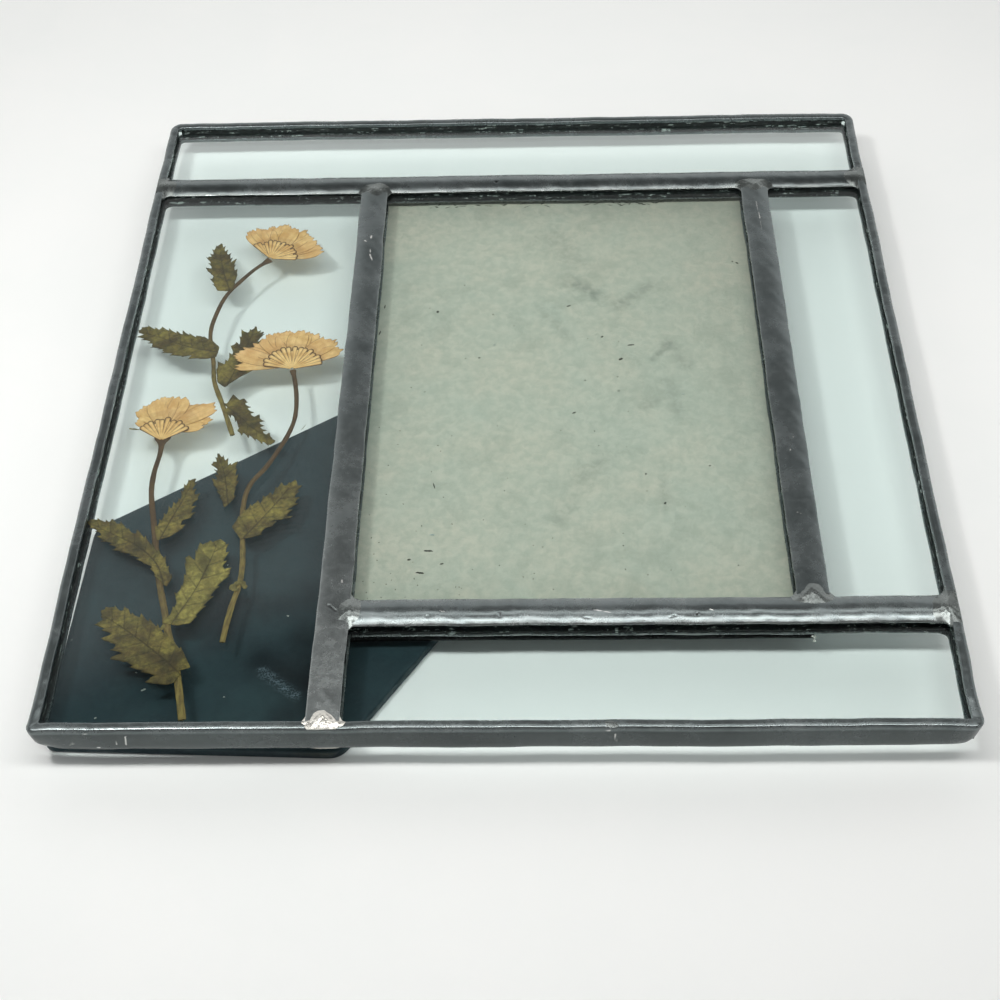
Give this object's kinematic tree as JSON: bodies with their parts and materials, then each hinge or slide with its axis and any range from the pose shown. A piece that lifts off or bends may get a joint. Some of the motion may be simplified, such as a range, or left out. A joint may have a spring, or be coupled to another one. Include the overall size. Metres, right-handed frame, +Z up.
{
  "type": "pressed flower frame",
  "caption": "Leaded-glass picture frame with pressed daisies sealed between glass in its left pane, a picture window with a backing board, and a hinged easel leg folded underneath.",
  "frame": {"origin": "on the resting surface, under the centre of the frame's outline", "axes": "+Z up out of the glass face as the frame lies on its folded leg, +X along the picture's short side to the right, +Y from the picture's lower edge to its upper edge"},
  "size_m": [0.17, 0.18, 0.0121],
  "materials": {
    "lead": "dark patina on lead came, semi-gloss, worn bright along its edges",
    "bright_solder": "bare tin solder, bright and rough",
    "clear_glass": "clear float glass with a faint green tint",
    "board": "matt grey-green paper on card, stained",
    "leatherette": "dark slate leatherette paper over card",
    "petal": "dried papery petals, cream to tan",
    "bract": "dried bracts, tan with brown edges",
    "leaf": "dried olive-brown leaves",
    "stem": "dried reddish-brown stems"
  },
  "bodies": {
    "frame": {"backing_board": "board", "easel_tab": "leatherette", "glass_bottom": "clear_glass", "glass_flowers_back": "clear_glass", "glass_flowers_front": "clear_glass", "glass_picture": "clear_glass", "glass_right": "clear_glass", "glass_top": "clear_glass", "left_bar_came": "lead", "low_bar_came": "lead", "lower_flower_bracts": "bract", "lower_flower_leaf_a": "leaf", "lower_flower_leaf_b": "leaf", "lower_flower_leaf_c": "leaf", "lower_flower_leaf_d": "leaf", "lower_flower_petals": "petal", "lower_flower_stem": "stem", "middle_flower_bracts": "bract", "middle_flower_leaf_a": "leaf", "middle_flower_leaf_b": "leaf", "middle_flower_petals": "petal", "middle_flower_stem": "stem", "pocket_strip_bottom": "lead", "pocket_strip_left": "lead", "pocket_strip_right": "lead", "right_bar_came": "lead", "rim_came": "lead", "solder_left_bar_foot_back": "bright_solder", "solder_left_bar_foot_front": "bright_solder", "solder_left_bar_top_front": "lead", "solder_low_bar_left_front": "lead", "solder_low_bar_right_back": "lead", "solder_low_bar_right_front": "lead", "solder_right_bar_foot_front": "lead", "solder_right_bar_top_front": "lead", "solder_rim_seam_front": "lead", "solder_top_bar_left_back": "lead", "solder_top_bar_left_front": "lead", "solder_top_bar_right_back": "lead", "solder_top_bar_right_front": "lead", "top_bar_came": "lead", "upper_flower_bracts": "bract", "upper_flower_leaf_a": "leaf", "upper_flower_leaf_b": "leaf", "upper_flower_leaf_c": "leaf", "upper_flower_leaf_d": "leaf", "upper_flower_petals": "petal", "upper_flower_stem": "stem"},
    "leg": {"easel_leg": "leatherette"}
  },
  "joints": [
    {"name": "leg_hinge", "type": "hinge", "parent": "frame", "child": "leg", "pos_m": [0.02393, 0.01773, 0], "axis": [0.7071, -0.7071, 0], "range_deg": [0, 40]}
  ]
}
